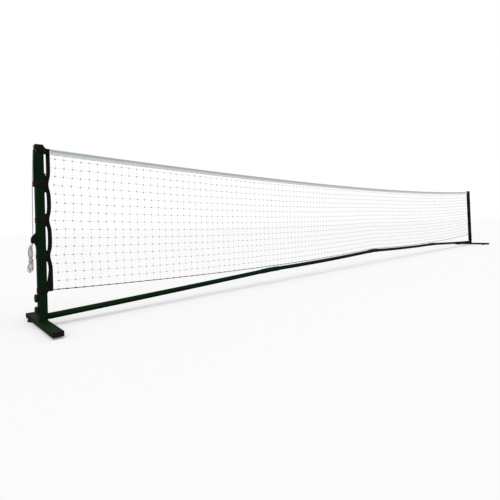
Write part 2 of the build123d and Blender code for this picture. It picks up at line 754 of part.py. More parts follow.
def write(name, shapes):
    """One STEP file for a node; several solids go in side by side."""
    shapes = shapes if isinstance(shapes, list) else [shapes]
    solids = [solid for shape in shapes for solid in shape.solids()]
    whole = solids[0] if len(solids) == 1 else Compound(children=solids)
    export_step(whole, f"parts/{name}.step")


def placed(place, shapes):
    return [place(s) for s in shapes] if isinstance(shapes, list) else place(shapes)


def write_pairs():
    """The base's small parts, one node for each kind with its solids at both ends."""
    kinds = {
        "foot_pads": foot_pads(),
        "foot_end_plugs": foot_end_plugs(),
        "base_collars": [collar()],
        "post_spigots": [spigot()],
        "bar_spigots": [bar_spigot()],
        "side_bands": [side_band()],
    }
    for name, shapes in kinds.items():
        write(name, placed(at_left, shapes) + placed(at_right, shapes))


def write_ends():
    for side, place in (("left", at_left), ("right", at_right)):
        is_left = side == "left"
        write(f"{side}_foot_tube", placed(place, foot_tube()))
        write(f"{side}_post_tube", placed(place, post_tube(CLEAT_SCREWS if is_left else ())))
        write(f"{side}_post_head", placed(place, left_head() if is_left else right_head()))
        write(f"{side}_head_strap_screws", placed(place, head_strap_screws()))
        write(f"{side}_clamp_nuts", placed(place, clamp_nuts()))
        write(f"{side}_side_straps", placed(place, side_straps(is_left)))
        write(f"{side}_top_straps", placed(place, top_straps()))
        for level, z in KNOB_HEIGHTS.items():
            write(f"{side}_{level}_knob", placed(place, knob_grip(z)))
            write(f"{side}_{level}_stud", placed(place, knob_stud(z)))


def write_bar():
    for i in range(4):
        write(f"bar_section_{i + 1}", bar_section(i))
    for joint in (1, 2, 3):
        write(f"bar_coupler_{joint}", coupler(joint))
    write("coupler_rivets", coupler_rivets())
    for i, place in enumerate(button_places()):
        write(f"snap_button_{i + 1}", snap_button(place))
        write(f"button_spring_{i + 1}", button_spring(place))


def write_tension_gear():
    write("tension_sheave", at_left(sheave()))
    write("sheave_axle", at_left(cross_pin(SHEAVE_X, SHEAVE_Z)))
    write("headline_anchor_pin", at_right(cross_pin(0, PIN_Z)))
    write("cord_guide_rail", at_left(cord_guide_rail()))
    write("cord_cleat", at_left(cleat()))
    write("cleat_screws", placed(at_left, cleat_screws()))
    write("tension_cord", at_left(tension_cord()))
    write("cord_tail", at_left(cord_tail()))
    write("cord_hank", at_left(cord_hank()))


def write_net():
    write("net_panel", net_panel())
    write("top_tape", top_tape())
    write("headline_cord", headline_cord())
    write("headline_tail", at_right(headline_tail()))
    write("bottom_cord", bottom_cord())


os.makedirs("parts", exist_ok=True)
write_pairs()
write_ends()
write_bar()
write_tension_gear()
write_net()
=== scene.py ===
# %% [markdown]
# # A portable pickleball net
# The object is two T-shaped steel ends, a jointed base tube that keeps them apart, and a
# knotted net hung between them under a white tape. The rigid parts come from the packed
# frame and stay exactly where they are. This lesson gives them their finishes and makes
# everything that is cloth, webbing, cord or twine as what it really is.

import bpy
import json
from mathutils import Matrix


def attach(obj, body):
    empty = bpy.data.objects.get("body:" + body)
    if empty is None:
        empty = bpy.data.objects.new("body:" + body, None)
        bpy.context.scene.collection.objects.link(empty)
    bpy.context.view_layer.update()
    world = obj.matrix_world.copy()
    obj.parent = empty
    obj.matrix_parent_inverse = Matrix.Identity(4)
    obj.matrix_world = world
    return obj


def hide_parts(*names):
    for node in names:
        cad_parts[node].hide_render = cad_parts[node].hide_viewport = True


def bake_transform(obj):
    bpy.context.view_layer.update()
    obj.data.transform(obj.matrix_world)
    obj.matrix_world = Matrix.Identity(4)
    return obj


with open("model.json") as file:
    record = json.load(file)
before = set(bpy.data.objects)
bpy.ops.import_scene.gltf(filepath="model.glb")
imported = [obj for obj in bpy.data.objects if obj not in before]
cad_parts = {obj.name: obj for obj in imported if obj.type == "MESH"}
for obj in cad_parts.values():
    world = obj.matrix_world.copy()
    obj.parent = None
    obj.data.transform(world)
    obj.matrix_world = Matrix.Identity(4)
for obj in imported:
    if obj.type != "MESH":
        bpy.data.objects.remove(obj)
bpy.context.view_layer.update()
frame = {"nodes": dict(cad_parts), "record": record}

import json
import math
import random

import bmesh
import bpy
from mathutils import Matrix, Vector

MM = 0.001
HALF_SPAN = 3.35

# %% [markdown]
# ## The camera
# A long net is seen from low down and from near one end, so its far post is small. The
# camera stands about half a metre off the floor. A little shift keeps the posts upright
# in the frame without tipping the camera.

# %% Camera
CAMERA_AT = Vector((-3.8061, -2.0435, 0.4888))
CAMERA_YAW = 0.7240
CAMERA_PITCH = 0.0128
CAMERA_ROLL = -0.0343
SENSOR = 36.0
LENS = 25.914
SHIFT_X, SHIFT_Y = 0.0220, -0.0604
FARTHEST_SEEN = 200.0


def camera_axes():
    """The camera's right, up and forward directions from its yaw, pitch and roll."""
    level = math.cos(CAMERA_PITCH)
    forward = Vector((
        math.sin(CAMERA_YAW) * level, math.cos(CAMERA_YAW) * level, math.sin(CAMERA_PITCH),
    ))
    right = Vector((math.cos(CAMERA_YAW), -math.sin(CAMERA_YAW), 0.0))
    up = right.cross(forward)
    rolled_right = right * math.cos(CAMERA_ROLL) + up * math.sin(CAMERA_ROLL)
    rolled_up = up * math.cos(CAMERA_ROLL) - right * math.sin(CAMERA_ROLL)
    return rolled_right, rolled_up, forward


def make_camera():
    data = bpy.data.cameras.new("camera")
    data.sensor_width = SENSOR
    data.lens = LENS
    data.shift_x = SHIFT_X
    data.shift_y = SHIFT_Y
    data.clip_end = FARTHEST_SEEN
    camera = bpy.data.objects.new("camera", data)
    right, up, forward = camera_axes()
    turn = Matrix((right, up, -forward)).transposed().to_4x4()
    camera.matrix_world = Matrix.Translation(CAMERA_AT) @ turn
    bpy.context.scene.collection.objects.link(camera)
    bpy.context.scene.camera = camera
    return camera


print("camera at", tuple(round(v, 3) for v in make_camera().matrix_world.translation))

# %% [markdown]
# ## A way to write shader maths
# Node graphs are easier to read as sums. Each output socket is wrapped in a small object,
# and adding or multiplying two of them puts a Math node between them. Everything else
# goes through one method that makes a node from its type, its settings and its inputs.

# %% Shader helpers
class Val:
    """A node's output. Sums and products of these become Math nodes."""

    def __init__(self, finish, socket):
        self.finish = finish
        self.socket = socket

    def maths(self, operation, first, second=0.0):
        return self.finish.node("ShaderNodeMath", {"operation": operation}, {0: first, 1: second})

    def __add__(self, other):
        return self.maths("ADD", self, other)

    __radd__ = __add__

    def __sub__(self, other):
        return self.maths("SUBTRACT", self, other)

    def __rsub__(self, other):
        return self.maths("SUBTRACT", other, self)

    def __mul__(self, other):
        return self.maths("MULTIPLY", self, other)

    __rmul__ = __mul__

    def __abs__(self):
        return self.maths("ABSOLUTE", self)

    def sine(self):
        return self.maths("SINE", self)

    def floor(self):
        return self.maths("FLOOR", self)

    def above(self, level):
        return self.maths("GREATER_THAN", self, level)


class Finish:
    """A material and its nodes."""

    def __init__(self, name, roughness, **constants):
        self.material = bpy.data.materials.new(name)
        self.material.use_nodes = True
        self.tree = self.material.node_tree
        self.shader = self.tree.nodes["Principled BSDF"]
        self.shader.inputs["Roughness"].default_value = roughness
        for socket, value in constants.items():
            self.shader.inputs[socket.replace("_", " ")].default_value = value

    def put(self, socket, value):
        if isinstance(value, Val):
            self.tree.links.new(value.socket, socket)
        else:
            socket.default_value = value

    def node(self, kind, settings=None, values=None, out=0):
        made = self.tree.nodes.new(kind)
        for name, value in (settings or {}).items():
            if name == "stops":
                self.set_stops(made.color_ramp, value)
            else:
                setattr(made, name, value)
        for name, value in (values or {}).items():
            self.put(made.inputs[name], value)
        return Val(self, made.outputs[out])

    def set_stops(self, ramp, stops):
        while len(ramp.elements) < len(stops):
            ramp.elements.new(0.5)
        for element, (place, colour) in zip(ramp.elements, stops):
            element.position = place
            element.color = (*colour, 1.0)

    def noise(self, scale, detail=3.0, where="Object"):
        place = self.coordinates(where)
        return self.node("ShaderNodeTexNoise", None, {"Vector": place, "Scale": scale, "Detail": detail})

    def coordinates(self, which):
        return self.node("ShaderNodeTexCoord", None, None, which)

    def ramp(self, value, stops):
        return self.node("ShaderNodeValToRGB", {"stops": stops}, {"Fac": value})

    def mix(self, share, first, second):
        """Two colours. The share says how much of the second shows."""
        sockets = {"Factor": share, 6: first, 7: second}
        return self.node("ShaderNodeMix", {"data_type": "RGBA"}, sockets, 2)

    def across(self):
        """The two parts of the piece's own UV map, along it and across it."""
        along = self.node("ShaderNodeSeparateXYZ", None, {0: self.coordinates("UV")})
        return along, Val(self, along.socket.node.outputs[1])

    def bump(self, height, strength, distance):
        values = {"Height": height, "Strength": strength, "Distance": distance}
        self.put(self.shader.inputs["Normal"], self.node("ShaderNodeBump", None, values))

    def set(self, socket, value):
        self.put(self.shader.inputs[socket], value)


print("shader helpers ready")

# %% [markdown]
# ## Powder-coated steel
# The posts, feet and base tube are steel with a dark green powder coat. Powder melts into
# a skin with a faint orange-peel ripple, about a millimetre from crest to crest, and it
# rubs paler where parts slide. Noise in Object space gives the ripple at its real size.

# %% Painted tube
PAINT_CLOUDS, ORANGE_PEEL, RUBS = 6.0, 650.0, 90.0
PAINT_DEEP, PAINT_FULL = (0.0032, 0.0120, 0.0043), (0.0052, 0.0176, 0.0063)
PAINT_WORN = (0.010, 0.034, 0.018, 1.0)


def painted_finish():
    made = Finish("powder_coat_green", 0.42, Specular_IOR_Level=0.015)
    clouds = made.noise(PAINT_CLOUDS, 2.0)
    ripple = made.noise(ORANGE_PEEL, 2.0)
    rubbed = made.ramp(made.noise(RUBS, 6.0), [(0.66, (0, 0, 0)), (0.74, (1, 1, 1))])
    body = made.ramp(clouds, [(0.3, PAINT_DEEP), (0.7, PAINT_FULL)])
    made.set("Base Color", made.mix(rubbed * 0.35, body, PAINT_WORN))
    made.set("Roughness", 0.44 + clouds * 0.10 + rubbed * 0.06)
    made.bump(ripple, 0.18, 0.0004)
    return made.material


# %% [markdown]
# ## Black plastic and rubber
# Knobs, end plugs, heads and the cleat are moulded in black plastic with a fine spark
# texture that the mould leaves, which breaks up the highlight. The pads are softer and
# duller, with a chalky bloom.

# %% Plastic and rubber
def moulded_finish(name, low, high, roughness, grain, depth):
    """Low and high are its darkest and lightest colours, and grain is spots in a metre."""
    made = Finish(name, roughness, Specular_IOR_Level=0.14)
    clouds = made.noise(40.0, 3.0)
    texture = made.noise(grain, 4.0)
    made.set("Base Color", made.ramp(clouds, [(0.3, low), (0.72, high)]))
    made.set("Roughness", roughness + (texture - 0.5) * 0.16)
    made.bump(texture, 0.30, depth)
    return made.material


# %% [markdown]
# ## Zinc and spring steel
# Screws, studs, rivets and snap buttons are zinc plated: pale grey, with patches of
# slightly different brightness and fine lathe marks. The springs are bare rolled strip,
# darker, with scratches that run one way, which stretched noise gives.

# %% Bare metal
def metal_finish(name, low, high, roughness, stretch):
    made = Finish(name, roughness, Metallic=1.0)
    where = {"Vector": made.coordinates("Object"), "Scale": stretch}
    place = made.node("ShaderNodeMapping", None, where)
    marks = made.node("ShaderNodeTexNoise", None, {"Vector": place, "Scale": 1.0, "Detail": 4.0})
    patches = made.noise(320.0, 2.0)
    made.set("Base Color", made.ramp(patches, [(0.3, low), (0.7, high)]))
    made.set("Roughness", roughness + marks * 0.22)
    made.bump(marks, 0.12, 0.0002)
    return made.material


# %% [markdown]
# ## Woven webbing
# Webbing is a thick plain weave. Its pattern has to follow the strap round corners, so
# it reads the piece's own UV map, laid out in metres: two sines make the over and under
# of warp and weft, and each rib is about a millimetre and a half wide.

# %% Webbing
RIB = 0.0015


def webbing_finish(name, dark, light):
    made = Finish(name, 0.82, Sheen_Weight=0.04, Specular_IOR_Level=0.10)
    along, over = made.across()
    row = (over * (1 / RIB)).floor()
    wave = math.pi / RIB
    weft = abs((along * wave + row * (math.pi / 2)).sine())
    warp = abs((over * wave).sine())
    weave = weft * warp
    fuzz = made.noise(1400.0, 3.0)
    shade = weave * 0.7 + fuzz * 0.3
    made.set("Base Color", made.ramp(shade, [(0.1, dark), (0.8, light)]))
    made.set("Roughness", 0.74 + fuzz * 0.16)
    made.bump(weave + fuzz * 0.25, 0.7, 0.0004)
    return made.material


# %% [markdown]
# ## Tape fabric
# The top band is coated cloth folded over the headline and sewn along its lower edge. It
# has a fine canvas weave, faint creases across it, and a row of stitches near the edge.
# Its upper half is painted greyer, as painted shade where the cloth rounds over the rope.
# The UV map gives the distance from the hem, which places both the stitches and the painted shade.

# %% Tape cloth
TAPE_WIDTH = 0.062
CANVAS_THREAD = 0.0007
STITCH_PITCH = 0.004
STITCH_HALF = 0.0005
HEM_STITCH = 0.004
STITCH_THREAD = (0.80, 0.81, 0.81, 1.0)
# Tones from the hem (light) up to the fold (dark): painted shade where the tape rounds over the rope.
TAPE_TONES = [
    (0.12, (0.83, 0.88, 0.90)), (0.42, (0.68, 0.73, 0.75)),
    (0.62, (0.52, 0.56, 0.58)), (0.95, (0.45, 0.485, 0.50)),
]


def tape_finish():
    made = Finish("tape_cloth", 0.7, Sheen_Weight=0.15, Specular_IOR_Level=0.3)
    along, over = made.across()
    wave = math.pi / CANVAS_THREAD
    weave = abs((along * wave).sine()) * abs((over * wave).sine())
    creases = made.noise(38.0, 4.0)
    from_hem = TAPE_WIDTH / 2 - abs(over - TAPE_WIDTH / 2)
    near = 1 - (abs(from_hem - HEM_STITCH) - STITCH_HALF).above(0.0)
    dash = (along * (2 * math.pi / STITCH_PITCH)).sine().above(-0.35)
    stitch = near * dash
    # Painted shade: the tone darkens from the hem up to the fold, with crease noise mixed in.
    depth = from_hem * (2 / TAPE_WIDTH) + (creases - 0.5) * 0.22
    made.set("Base Color", made.mix(stitch, made.ramp(depth, TAPE_TONES), STITCH_THREAD))
    made.set("Roughness", 0.62 + creases * 0.16)
    made.bump(weave * 0.25 + stitch * 1.6 + creases * 1.2, 0.55, 0.0005)
    return made.material


# %% [markdown]
# ## Braided cord
# A cord's UV map runs once along its whole length and once round it. Two families of
# crossing stripes, one leaning each way, read as the strands of a braid, so the stripe
# count along a cord comes from its real length.

# %% Cord
WHITE_SHADE, WHITE_LIGHT = (0.30, 0.30, 0.28), (0.62, 0.62, 0.59)
BLACK_SHADE, BLACK_LIGHT = (0.004, 0.004, 0.004), (0.02, 0.02, 0.021)
STRANDS_ROUND = 4


def cord_finish(name, length, dark=WHITE_SHADE, light=WHITE_LIGHT, lay=0.0036):
    """The length is the cord's, and the lay is how far a strand runs in one turn."""
    made = Finish(name, 0.72, Sheen_Weight=0.2, Specular_IOR_Level=0.25)
    along, round_it = made.across()
    pitch = along * (2 * math.pi * length / lay)
    lean = round_it * (2 * math.pi * STRANDS_ROUND)
    strands = abs((pitch * 0.5 + lean * 0.5).sine()) * abs((pitch * 0.5 - lean * 0.5).sine())
    fuzz = made.noise(1500.0, 2.0)
    made.set("Base Color", made.ramp(strands * 0.75 + fuzz * 0.25, [(0.05, dark), (0.65, light)]))
    made.set("Roughness", 0.66 + fuzz * 0.2)
    made.bump(strands, 0.8, 0.0005)
    return made.material


def twine_finish():
    made = Finish("net_twine", 0.85, Specular_IOR_Level=0.2)
    fibres = made.noise(2600.0, 3.0)
    tones = [(0.3, (0.006, 0.006, 0.007)), (0.75, (0.022, 0.022, 0.024))]
    made.set("Base Color", made.ramp(fibres, tones))
    made.set("Roughness", 0.72 + fibres * 0.2)
    made.bump(fibres, 0.6, 0.0004)
    return made.material


# %% [markdown]
# ## One material for each slot
# The record names a material slot for every node. Each slot gets the finish written for
# it, and every node of the frame then takes its slot's finish. Pieces made later use the
# same dictionary.

# %% Give the frame its finishes
HALF_ROPE = 3.3
FINISH = {
    "painted_tube": painted_finish(),
    "black_plastic": moulded_finish(
        "moulded_black", (0.0030, 0.0030, 0.0034), (0.0068, 0.0068, 0.0074), 0.5, 1800.0, 0.0003),
    "pad_rubber": moulded_finish(
        "pad_rubber", (0.006, 0.006, 0.006), (0.016, 0.016, 0.015), 0.82, 900.0, 0.0005),
    "black_steel": moulded_finish(
        "blackened_steel", (0.008, 0.008, 0.009), (0.020, 0.020, 0.021), 0.42, 1200.0, 0.0002),
    "zinc_steel": metal_finish(
        "zinc_plate", (0.56, 0.57, 0.56), (0.70, 0.70, 0.68), 0.28, (600, 600, 90)),
    "spring_steel": metal_finish(
        "spring_strip", (0.30, 0.30, 0.31), (0.42, 0.42, 0.42), 0.34, (60, 900, 900)),
    "black_webbing": webbing_finish(
        "black_webbing", (0.0018, 0.0018, 0.0022), (0.0075, 0.0075, 0.0085)),
    "white_tape": tape_finish(),
    "net_twine": twine_finish(),
    "white_cord": cord_finish("white_braid", 1.0),
    "black_cord": cord_finish("black_braid", HALF_ROPE, BLACK_SHADE, BLACK_LIGHT),
}


def wear(piece, material):
    piece.data.materials.clear()
    piece.data.materials.append(material)


for part in frame["record"]["subparts"]:
    wear(frame["nodes"][part["node"]], FINISH[part["material_slot"]])
print("finishes given to", len(frame["nodes"]), "nodes")

# %% [markdown]
# ## Smooth lines
# Cords, ropes and the plan of a strap all follow a NURBS spline of order 3. Its points
# are corners that the line rounds off, so a few of them describe a long soft curve.

# %% Spline helpers
def left(x, y, z):
    """A point given in millimetres from the left post's foot, in metres from the middle."""
    return (-HALF_SPAN + x * MM, y * MM, z * MM)


def spline_curve(name, points, radius=0.0, steps=12):
    """A curve object through the points' corners, which is a tube if it has a radius."""
    curve = bpy.data.curves.new(name, "CURVE")
    curve.dimensions = "3D"
    line = curve.splines.new("NURBS")
    line.points.add(len(points) - 1)
    for knot, place in zip(line.points, points):
        knot.co = (*place, 1.0)
    line.order_u = 3
    line.use_endpoint_u = True
    curve.resolution_u = steps
    curve.bevel_depth = radius
    curve.bevel_resolution = 3
    curve.use_fill_caps = True
    piece = bpy.data.objects.new(name, curve)
    bpy.context.scene.collection.objects.link(piece)
    return piece


def mesh_from(curve_piece):
    """The evaluated mesh of a curve object, which is then removed."""
    curve = curve_piece.data
    mesh = bpy.data.meshes.new_from_object(curve_piece)
    bpy.data.objects.remove(curve_piece)
    bpy.data.curves.remove(curve)
    return mesh


def line_through(points, steps=12):
    """The points of a smooth line, in order, and how far along it each one is."""
    mesh = mesh_from(spline_curve("line", points, 0.0, steps))
    places = [v.co.copy() for v in mesh.vertices]
    bpy.data.meshes.remove(mesh)
    far = [0.0]
    for a, b in zip(places, places[1:]):
        far.append(far[-1] + (b - a).length)
    return places, far


def along_line(line, share):
    """The point at a share of a line's length."""
    places, far = line
    reach = share * far[-1]
    for i in range(1, len(far)):
        if far[i] >= reach:
            t = (reach - far[i - 1]) / max(far[i] - far[i - 1], 1e-9)
            return places[i - 1].lerp(places[i], t)
    return places[-1].copy()


print("spline helpers ready")

# %% [markdown]
# ## The spare cord
# What is left of the tension cord comes out under the cleat, and someone has folded it up
# and wound its end round the waist of the bundle. It is one cord: a short tail, four long
# turns that fan out round the same axis, three wraps, and an end that hangs free. Its
# corners are in millimetres from the left post's foot. Each turn is given by the height
# of its top, its half widths at the top, the belly and the lower lobe, and its lowest
# point.

# %% The folded hank
CORD_EXIT = (-36.5, 0, 430)
CORD_RADIUS = 0.002
CORD_STEPS = 6
HANK_X, HANK_Y = -46.0, 3.0
FAN = 44.0
WAIST = 5.4
WAIST_MIDDLE = 350.0
LEAN = 0.08
WRAP_RADIUS = 9.4
WRAP_POINTS = 41
WRAP_STEP = 30
WRAP_PITCH = 4.3
TURNS = [
    (422.0, 7.6, 12.4, 12.2, 285.0),
    (416.0, 8.4, 12.0, 12.4, 290.0),
    (410.0, 8.0, 12.4, 11.8, 296.0),
    (403.0, 8.8, 11.8, 12.0, 301.0),
]


def turn_points(number, top, top_half, belly, low_half, low):
    """One long turn, pinched at the waist. Each turn lies across the one before it."""
    fold = 0.42 * top_half
    outline = [
        (-top_half, top - 7), (-belly, 376), (-WAIST, 352), (-WAIST, 334),
        (-low_half, 314), (-low_half, low + 7), (-fold, low), (fold, low),
        (low_half, low + 7), (low_half, 314), (WAIST, 334), (WAIST, 352),
        (belly, 376), (top_half, top - 7), (fold, top), (-fold, top),
    ]
    made = []
    for i, (out, z) in enumerate(outline):
        angle = math.radians(FAN * (number + i / len(outline)))
        centre = HANK_X - LEAN * max(0.0, WAIST_MIDDLE - z)
        made.append((centre + out * math.cos(angle), HANK_Y + out * math.sin(angle), z))
    return made


def wrap_points():
    """Three wraps round the waist, from its far side, and the free end in front."""
    made = []
    for i in range(WRAP_POINTS):
        angle = math.radians(75 - WRAP_STEP * i)
        x, y = WRAP_RADIUS * math.cos(angle), WRAP_RADIUS * math.sin(angle)
        made.append((x, y, WAIST_MIDDLE - WRAP_PITCH * i * WRAP_STEP / 360))
    made += [(8.0, -8.5, 329.0), (7.0, -11.5, 320.0), (7.5, -13.5, 309.0), (6.0, -14.0, 299.0)]
    return made


route = [CORD_EXIT, (-36.8, 0, 424), (-38.5, 0.6, 416), (-44, 1.2, 412)]
for number, shape in enumerate(TURNS):
    route += turn_points(number, *shape)
over_the_back = [(5.5, 6.0, 396), (6.0, 13.0, 384), (4.5, 13.0, 362)]
route += [(HANK_X + x, HANK_Y + y, z) for x, y, z in over_the_back + wrap_points()]
corners = [left(*place) for place in route]
spare_cord = spline_curve("spare_cord", corners, CORD_RADIUS, CORD_STEPS)
cord_line = line_through(corners, CORD_STEPS)
SPARE_LENGTH = cord_line[1][-1]
wear(spare_cord, cord_finish("spare_braid", SPARE_LENGTH))
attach(spare_cord, "left_post")
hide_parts("cord_tail", "cord_hank")
print("spare cord:", len(route), "points,", round(SPARE_LENGTH, 3), "m")

# %% [markdown]
# The end of a braided cord is melted so that it can't fray, which leaves a short hard
# bead. A sphere a little wider than the cord, and pulled longer along it, is that bead.

# %% The sealed end
BEAD_WIDE, BEAD_LONG = 1.04, 1.25


def finish_piece(name, bm, material):
    """Turns a bmesh into a smooth-shaded piece at the origin, with its material."""
    mesh = bpy.data.meshes.new(name)
    bm.to_mesh(mesh)
    bm.free()
    for face in mesh.polygons:
        face.use_smooth = True
    piece = bpy.data.objects.new(name, mesh)
    bpy.context.scene.collection.objects.link(piece)
    wear(piece, material)
    return piece


def sealed_tip(name, places, reach):
    """A melted bead on the end of a cord."""
    end, before = places[-1], places[-2]
    heading = (end - before).normalized()
    bm = bmesh.new()
    bmesh.ops.create_uvsphere(bm, u_segments=14, v_segments=10, radius=1.0)
    bmesh.ops.scale(bm, vec=(reach * BEAD_WIDE, reach * BEAD_WIDE, reach * BEAD_LONG), verts=bm.verts)
    turn = heading.to_track_quat("Z", "Y").to_matrix().to_4x4()
    bmesh.ops.transform(bm, matrix=Matrix.Translation(end) @ turn, verts=bm.verts)
    return finish_piece(name, bm, FINISH["white_cord"])


cord_tip = sealed_tip("spare_cord_tip", cord_line[0], CORD_RADIUS)
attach(cord_tip, "left_post")
left(*CORD_EXIT)

# %% [markdown]
# ## The tension cord
# This cord is tight: it runs from the headline over the small wheel in the head, down
# the outside of the post past the guide rail, and into the cleat. It bends only at the
# wheel, so its spline has a cluster of points there and long bare stretches elsewhere.
# Its corners are how far out from the post's axis they are, and how high.

# %% The tight cord
TIGHT_LENGTH = 0.545
tight_route = [
    (35.4, 911.0), (14.0, 909.4), (-9.0, 907.6), (-15.6, 907.2), (-20.6, 906.0), (-24.4, 901.6),
    (-25.3, 896.0), (-25.8, 884.0), (-30.0, 780.0), (-32.2, 728.0), (-32.9, 680.0), (-34.8, 520.0),
    (-35.4, 478.0), (-36.1, 446.0), (-36.5, 429.0),
]
tight_cord = spline_curve("tight_cord", [left(x, 0, z) for x, z in tight_route], CORD_RADIUS, 10)
wear(tight_cord, cord_finish("tight_braid", TIGHT_LENGTH))
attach(tight_cord, "left_post")
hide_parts("tension_cord")
print("tension cord made")

# %% [markdown]
# ## Lines that hang between the posts
# Three lines shape the net: the tape's top edge, which sags in one curve, the headline
# just below it, and the bottom cord, which hangs in two lobes because the middle joint of
# the base tube holds it up. One short function gives the height of each.

# %% Hanging lines
TAPE_END = HALF_SPAN - 0.057
TAPE_TOP = 0.914
TAPE_SAG = 0.070
TAPE_DEPTH = 0.030
HEADLINE_DROP = 0.0039
HEADLINE_RADIUS = 0.0025
BOTTOM_END = HALF_SPAN - 0.055
BOTTOM_RADIUS = 0.002
BOTTOM_PEAK, BOTTOM_AT_POST = 0.167, 0.184
BOTTOM_CROWN, BOTTOM_LOBE = 0.080, 0.035


def tape_top(x):
    return TAPE_TOP - TAPE_SAG * (1 - (x / TAPE_END) ** 2)


def bottom_edge(x):
    """Height of the bottom cord at x: two hanging lobes with a rounded crown between."""
    rise = BOTTOM_AT_POST - BOTTOM_PEAK
    t = max(abs(x), BOTTOM_CROWN) / BOTTOM_END
    height = BOTTOM_PEAK + t * rise - 4 * BOTTOM_LOBE * t * (1 - t)
    slope = (rise - 4 * BOTTOM_LOBE * (1 - 2 * t)) / BOTTOM_END
    inside = min(abs(x), BOTTOM_CROWN)
    return height + slope * (inside**2 - BOTTOM_CROWN**2) / (2 * BOTTOM_CROWN)


print("bottom cord at the middle:", round(bottom_edge(0.0), 4), "m")

# %% [markdown]
# ## Soft pieces made in halves
# When a post is raised on its spigot, the net's end goes up with it and its middle stays.
# Every long soft piece is therefore made in two halves, and each half's placement is
# baked into its mesh.

# %% Halves
SIDES = {"left": -1.0, "right": 1.0}


def stretch_between(piece):
    """Bakes the half's placement into its mesh, which then sits at the origin."""
    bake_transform(piece)


def rope_half(name, side, height, start, end, radius, material, count=46):
    """Half of a rope that follows height(x), as a tube with its own UV map."""
    sign = SIDES[side]
    stations = [start + (end - start) * i / count for i in range(count + 1)]
    points = [(sign * x, 0.0, height(x)) for x in stations]
    mesh = mesh_from(spline_curve(name, points, radius, 2))
    mesh.name = name
    piece = bpy.data.objects.new(name, mesh)
    bpy.context.scene.collection.objects.link(piece)
    wear(piece, material)
    return piece


def headline_height(x):
    return tape_top(x) - HEADLINE_DROP


headline_finish = cord_finish("headline_braid", HALF_ROPE, lay=0.005)
for side in SIDES:
    headline = rope_half(f"headline_{side}", side, headline_height, 0.0, HALF_SPAN - 0.0355,
                         HEADLINE_RADIUS, headline_finish)
    stretch_between(headline)
    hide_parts("headline_cord")
    bottom = rope_half(f"bottom_cord_{side}", side, bottom_edge, 0.0, BOTTOM_END, BOTTOM_RADIUS,
                       FINISH["black_cord"], 60)
    stretch_between(bottom)
    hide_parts("bottom_cord")
print("headline and bottom cord made in halves")

# %% [markdown]
# At the plain post the headline is tied round a pin inside the head. Only this last
# short length goes up with the post, so it is a piece of its own that rides there.

# %% The headline's tied end
TIED_HEIGHT = 0.912
TIED_SLOPE = 0.05


def tied_height(x):
    return TIED_HEIGHT - (HALF_SPAN - x) * TIED_SLOPE


tied_end = rope_half("headline_tied_end", "right", tied_height, HALF_SPAN - 0.0354,
                     HALF_SPAN - 0.0026, HEADLINE_RADIUS, headline_finish, 6)
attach(tied_end, "right_post")
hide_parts("headline_tail")
print("tied end made")

# %% [markdown]
# ## The knotted net
# A knotted net is square cells of thin twine with a hard little knot at every crossing.
# A grid has exactly those cells, so each half starts as a grid, its corners are moved to
# where the knots hang, and the wireframe operator turns its edges into thin twine. The
# straps pull some rows towards the post, which the far end of the net doesn't feel.

# %% Net layout
CELLS_LONG = 139
CELLS_HIGH = 16
CELL = 2 * TAPE_END / CELLS_LONG
LAST_COLUMN = CELLS_LONG + 2
MIDDLE_COLUMN = 71
STRAP_HEIGHTS = [0.187, 0.359, 0.545, 0.728]
STRAP_PULL = 0.010
PULL_REACH = 0.8
PULL_HEIGHT = 0.036
TWINE = 0.00055
KNOT_RADIUS = 0.0033
KNOT_SHAPE = (1.25, 0.85, 0.95, 1.0)
SHAKE = (0.0016, 0.0004, 0.0014)
GRID_TOP = 0.012
LOWER_ROWS_DROP = 0.009
END_GAP = 0.021
END_REACH = 0.150
BAND_MIDDLE = HALF_SPAN - 0.0435


def strap_pull(z):
    """How far the three middle straps draw the border towards the post, in metres."""
    share = sum(math.exp(-(((z - height) / PULL_HEIGHT) ** 2)) for height in STRAP_HEIGHTS[1:])
    return STRAP_PULL * min(share, 1.0)


def column_at(column):
    """Where an upright twine hangs. The first and the last are hidden in the side bands."""
    if column in (0, LAST_COLUMN):
        return math.copysign(BAND_MIDDLE, column - 1)
    x = (column - 1) * CELL - TAPE_END
    return x - math.copysign(END_GAP * math.exp((abs(x) - TAPE_END) / END_REACH), x)


def knot_place(column, row, wander):
    """Where a knot hangs, with a little of the unevenness of hand tension."""
    x = column_at(column)
    inner = max(-TAPE_END, min(TAPE_END, x))
    low, high = bottom_edge(inner) + BOTTOM_RADIUS, tape_top(inner) - 0.004
    share = row / CELLS_HIGH
    z = low + (high - low) * share
    z -= LOWER_ROWS_DROP * math.sin(math.pi * share) * (1 - share)
    if row == CELLS_HIGH:
        z = tape_top(inner) - TAPE_DEPTH + GRID_TOP
    x += math.copysign(strap_pull(z) * math.exp((abs(inner) - TAPE_END) / PULL_REACH), x)
    loose = 0.0 if row in (0, CELLS_HIGH) else 1.0
    shake = Vector([wander.uniform(-1, 1) * reach for reach in SHAKE])
    return Vector((x, 0.0, z)) + shake * loose


